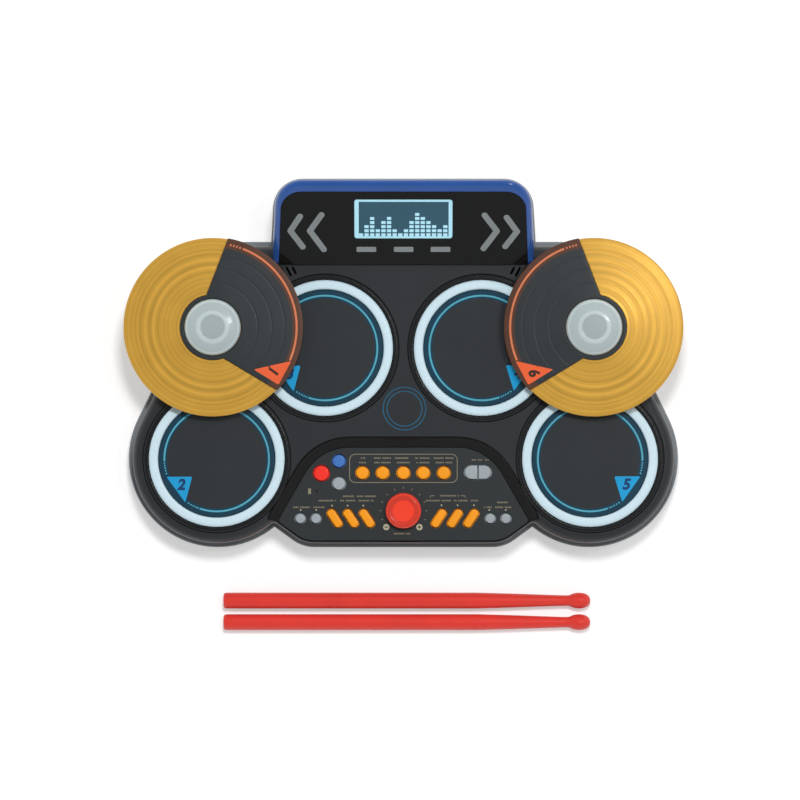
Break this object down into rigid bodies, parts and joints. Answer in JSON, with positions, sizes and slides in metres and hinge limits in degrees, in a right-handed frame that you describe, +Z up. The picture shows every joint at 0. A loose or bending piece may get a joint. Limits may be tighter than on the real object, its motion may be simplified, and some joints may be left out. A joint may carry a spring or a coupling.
{
  "type": "electronic drum pad",
  "caption": "Tabletop electronic drum pad toy with light-ringed pads, swing-out cymbals, a display housing, a keyed control panel and drumsticks.",
  "frame": {"origin": "on the table, under the middle of the box around the case, the closed cymbals and the drumsticks", "axes": "+Z up, -Y towards the player, +X to the player's right"},
  "size_m": [0.4356, 0.3546, 0.082],
  "materials": {
    "base_black": "textured moulded ABS",
    "case_black": "fine satin moulded ABS",
    "panel_black": "satin printed panel",
    "display_blue": "high-gloss blue ABS",
    "fascia_black": "gloss black acrylic",
    "screen": "backlit LCD",
    "circuit_board": "solder mask",
    "membrane_grey": "silicone",
    "plated_steel": "zinc plated",
    "speaker_black": "paper cone in a pressed basket",
    "foot_rubber": "matte",
    "light_ring": "frosted light pipe",
    "drum_pad": "matte rubber skin with printed line",
    "key_grey": "satin",
    "key_orange": "satin",
    "key_red": "satin",
    "key_blue": "satin",
    "knob_red": "satin",
    "cymbal_gold": "pearl gold, finely turned",
    "frosted_lens": "frosted",
    "strike_pad": "satin printed, with grooves",
    "stick_red": "satin"
  },
  "bodies": {
    "case": {"bottom_case": "base_black", "top_case": "case_black", "control_panel": "panel_black", "display_housing": "display_blue", "display_fascia": "fascia_black", "lcd_module": "screen", "display_board": "circuit_board", "main_board": "circuit_board", "key_membrane": "membrane_grey", "volume_encoder": "plated_steel", "microphone": "plated_steel", "speaker_left": "speaker_black", "speaker_right": "speaker_black", "foot_front_left": "foot_rubber", "foot_front_right": "foot_rubber", "foot_rear_left": "foot_rubber", "foot_rear_right": "foot_rubber", "pivot_pin_left": "plated_steel", "pivot_pin_right": "plated_steel", "light_ring_front_left": "light_ring", "light_ring_front_right": "light_ring", "light_ring_rear_left": "light_ring", "light_ring_rear_right": "light_ring"},
    "battery_cover": {"battery_door": "base_black", "battery_door_screw": "plated_steel"},
    "pad_front_left": {"drum_pad_front_left": "drum_pad"},
    "pad_front_right": {"drum_pad_front_right": "drum_pad"},
    "pad_rear_left": {"drum_pad_rear_left": "drum_pad"},
    "pad_rear_right": {"drum_pad_rear_right": "drum_pad"},
    "effect_button_1_body": {"effect_button_1": "key_grey"},
    "effect_button_2_body": {"effect_button_2": "key_grey"},
    "effect_button_3_body": {"effect_button_3": "key_grey"},
    "effect_button_4_body": {"effect_button_4": "key_grey"},
    "input_button_body": {"input_button": "key_grey"},
    "mode_button_1_body": {"mode_button_1": "key_orange"},
    "mode_button_2_body": {"mode_button_2": "key_orange"},
    "mode_button_3_body": {"mode_button_3": "key_orange"},
    "mode_button_4_body": {"mode_button_4": "key_orange"},
    "mode_button_5_body": {"mode_button_5": "key_orange"},
    "power_button_body": {"power_button": "key_red"},
    "select_button_1_body": {"select_button_1": "key_orange"},
    "select_button_2_body": {"select_button_2": "key_orange"},
    "select_button_3_body": {"select_button_3": "key_orange"},
    "select_button_4_body": {"select_button_4": "key_orange"},
    "select_button_5_body": {"select_button_5": "key_orange"},
    "select_button_6_body": {"select_button_6": "key_orange"},
    "tempo_down_button_body": {"tempo_down_button": "key_grey"},
    "tempo_up_button_body": {"tempo_up_button": "key_grey"},
    "wireless_button_body": {"wireless_button": "key_blue"},
    "knob": {"volume_knob": "knob_red"},
    "cymbal_left": {"cymbal_arm_left": "cymbal_gold", "cymbal_disc_left": "cymbal_gold", "hub_lens_left": "frosted_lens"},
    "cymbal_pad_left": {"cymbal_strike_pad_left": "strike_pad"},
    "cymbal_right": {"cymbal_arm_right": "cymbal_gold", "cymbal_disc_right": "cymbal_gold", "hub_lens_right": "frosted_lens"},
    "cymbal_pad_right": {"cymbal_strike_pad_right": "strike_pad"},
    "stick_rear": {"drumstick_rear": "stick_red"},
    "stick_front": {"drumstick_front": "stick_red"}
  },
  "joints": [
    {"name": "battery_cover_lift", "type": "slide", "parent": "case", "child": "battery_cover", "axis": [0, 0, -1], "range_m": [0, 0.03]},
    {"name": "pad_front_left_press", "type": "slide", "parent": "case", "child": "pad_front_left", "axis": [0, 0, -1], "range_m": [0, 0.0015], "stiffness_N_per_m": 600, "springref_m": -0.003},
    {"name": "pad_front_right_press", "type": "slide", "parent": "case", "child": "pad_front_right", "axis": [0, 0, -1], "range_m": [0, 0.0015], "stiffness_N_per_m": 600, "springref_m": -0.003},
    {"name": "pad_rear_left_press", "type": "slide", "parent": "case", "child": "pad_rear_left", "axis": [0, 0, -1], "range_m": [0, 0.0015], "stiffness_N_per_m": 600, "springref_m": -0.003},
    {"name": "pad_rear_right_press", "type": "slide", "parent": "case", "child": "pad_rear_right", "axis": [0, 0, -1], "range_m": [0, 0.0015], "stiffness_N_per_m": 600, "springref_m": -0.003},
    {"name": "effect_button_1_press", "type": "slide", "parent": "case", "child": "effect_button_1_body", "axis": [0, 0, -1], "range_m": [0, 0.001], "stiffness_N_per_m": 300, "springref_m": -0.002},
    {"name": "effect_button_2_press", "type": "slide", "parent": "case", "child": "effect_button_2_body", "axis": [0, 0, -1], "range_m": [0, 0.001], "stiffness_N_per_m": 300, "springref_m": -0.002},
    {"name": "effect_button_3_press", "type": "slide", "parent": "case", "child": "effect_button_3_body", "axis": [0, 0, -1], "range_m": [0, 0.001], "stiffness_N_per_m": 300, "springref_m": -0.002},
    {"name": "effect_button_4_press", "type": "slide", "parent": "case", "child": "effect_button_4_body", "axis": [0, 0, -1], "range_m": [0, 0.001], "stiffness_N_per_m": 300, "springref_m": -0.002},
    {"name": "input_button_press", "type": "slide", "parent": "case", "child": "input_button_body", "axis": [0, 0, -1], "range_m": [0, 0.001], "stiffness_N_per_m": 300, "springref_m": -0.002},
    {"name": "mode_button_1_press", "type": "slide", "parent": "case", "child": "mode_button_1_body", "axis": [0, 0, -1], "range_m": [0, 0.001], "stiffness_N_per_m": 300, "springref_m": -0.002},
    {"name": "mode_button_2_press", "type": "slide", "parent": "case", "child": "mode_button_2_body", "axis": [0, 0, -1], "range_m": [0, 0.001], "stiffness_N_per_m": 300, "springref_m": -0.002},
    {"name": "mode_button_3_press", "type": "slide", "parent": "case", "child": "mode_button_3_body", "axis": [0, 0, -1], "range_m": [0, 0.001], "stiffness_N_per_m": 300, "springref_m": -0.002},
    {"name": "mode_button_4_press", "type": "slide", "parent": "case", "child": "mode_button_4_body", "axis": [0, 0, -1], "range_m": [0, 0.001], "stiffness_N_per_m": 300, "springref_m": -0.002},
    {"name": "mode_button_5_press", "type": "slide", "parent": "case", "child": "mode_button_5_body", "axis": [0, 0, -1], "range_m": [0, 0.001], "stiffness_N_per_m": 300, "springref_m": -0.002},
    {"name": "power_button_press", "type": "slide", "parent": "case", "child": "power_button_body", "axis": [0, 0, -1], "range_m": [0, 0.001], "stiffness_N_per_m": 300, "springref_m": -0.002},
    {"name": "select_button_1_press", "type": "slide", "parent": "case", "child": "select_button_1_body", "axis": [0, 0, -1], "range_m": [0, 0.001], "stiffness_N_per_m": 300, "springref_m": -0.002},
    {"name": "select_button_2_press", "type": "slide", "parent": "case", "child": "select_button_2_body", "axis": [0, 0, -1], "range_m": [0, 0.001], "stiffness_N_per_m": 300, "springref_m": -0.002},
    {"name": "select_button_3_press", "type": "slide", "parent": "case", "child": "select_button_3_body", "axis": [0, 0, -1], "range_m": [0, 0.001], "stiffness_N_per_m": 300, "springref_m": -0.002},
    {"name": "select_button_4_press", "type": "slide", "parent": "case", "child": "select_button_4_body", "axis": [0, 0, -1], "range_m": [0, 0.001], "stiffness_N_per_m": 300, "springref_m": -0.002},
    {"name": "select_button_5_press", "type": "slide", "parent": "case", "child": "select_button_5_body", "axis": [0, 0, -1], "range_m": [0, 0.001], "stiffness_N_per_m": 300, "springref_m": -0.002},
    {"name": "select_button_6_press", "type": "slide", "parent": "case", "child": "select_button_6_body", "axis": [0, 0, -1], "range_m": [0, 0.001], "stiffness_N_per_m": 300, "springref_m": -0.002},
    {"name": "tempo_down_button_press", "type": "slide", "parent": "case", "child": "tempo_down_button_body", "axis": [0, 0, -1], "range_m": [0, 0.001], "stiffness_N_per_m": 300, "springref_m": -0.002},
    {"name": "tempo_up_button_press", "type": "slide", "parent": "case", "child": "tempo_up_button_body", "axis": [0, 0, -1], "range_m": [0, 0.001], "stiffness_N_per_m": 300, "springref_m": -0.002},
    {"name": "wireless_button_press", "type": "slide", "parent": "case", "child": "wireless_button_body", "axis": [0, 0, -1], "range_m": [0, 0.001], "stiffness_N_per_m": 300, "springref_m": -0.002},
    {"name": "volume_knob_turn", "type": "hinge", "parent": "case", "child": "knob", "pos_m": [0, -0.08246, 0], "axis": [0, 0, 1], "range_deg": [-135, 135]},
    {"name": "cymbal_left_swing", "type": "hinge", "parent": "case", "child": "cymbal_left", "pos_m": [-0.11969, 0.10864, 0], "axis": [0, 0, -1], "range_deg": [0, 53]},
    {"name": "cymbal_pad_left_press", "type": "slide", "parent": "cymbal_left", "child": "cymbal_pad_left", "axis": [0, 0, -1], "range_m": [0, 0.001], "stiffness_N_per_m": 500, "springref_m": -0.002},
    {"name": "cymbal_right_swing", "type": "hinge", "parent": "case", "child": "cymbal_right", "pos_m": [0.11969, 0.10864, 0], "axis": [0, 0, 1], "range_deg": [0, 53]},
    {"name": "cymbal_pad_right_press", "type": "slide", "parent": "cymbal_right", "child": "cymbal_pad_right", "axis": [0, 0, -1], "range_m": [0, 0.001], "stiffness_N_per_m": 500, "springref_m": -0.002},
    {"name": "drumstick_rear_lift", "type": "slide", "parent": "case", "child": "stick_rear", "axis": [0, 0, 1], "range_m": [0, 0.12]},
    {"name": "drumstick_front_lift", "type": "slide", "parent": "case", "child": "stick_front", "axis": [0, 0, 1], "range_m": [0, 0.12]}
  ]
}
